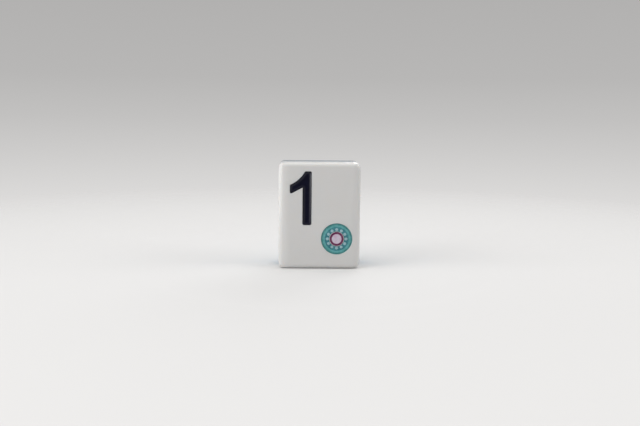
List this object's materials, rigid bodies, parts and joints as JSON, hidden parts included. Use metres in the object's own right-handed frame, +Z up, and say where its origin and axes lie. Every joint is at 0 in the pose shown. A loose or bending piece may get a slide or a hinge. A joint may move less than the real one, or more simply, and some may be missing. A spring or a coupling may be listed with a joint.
{
  "type": "mahjong tile",
  "caption": "Upright mahjong tile: a white engraved face block cemented to a clear blue back block, with rounded edges, an enamelled numeral and a round flower figure.",
  "frame": {"origin": "under the middle of the standing tile, on the surface that it stands on", "axes": "+Z up along the tile's height, +Y through its thickness from the face to the back, +X to the right as seen from the face"},
  "size_m": [0.023, 0.013, 0.03],
  "materials": {
    "white_acrylic": "polished, softly glossy",
    "cement": "clear, slightly cloudy",
    "blue_acrylic": "polished, see-through blue",
    "navy_enamel": "glossy enamel",
    "green_enamel": "glossy enamel",
    "pale_green_enamel": "glossy enamel",
    "teal_enamel": "glossy enamel",
    "pale_teal_enamel": "glossy enamel",
    "magenta_enamel": "glossy enamel",
    "pink_enamel": "glossy enamel"
  },
  "bodies": {
    "root": {"face_block": "white_acrylic", "cement_film": "cement", "back_block": "blue_acrylic", "numeral_paint": "navy_enamel", "rim_ring_paint": "green_enamel", "band_ring_paint": "pale_green_enamel", "bead_ring_paint": "teal_enamel", "bead_paint": "pale_teal_enamel", "core_ring_paint": "magenta_enamel", "core_disc_paint": "pink_enamel"}
  },
  "joints": []
}
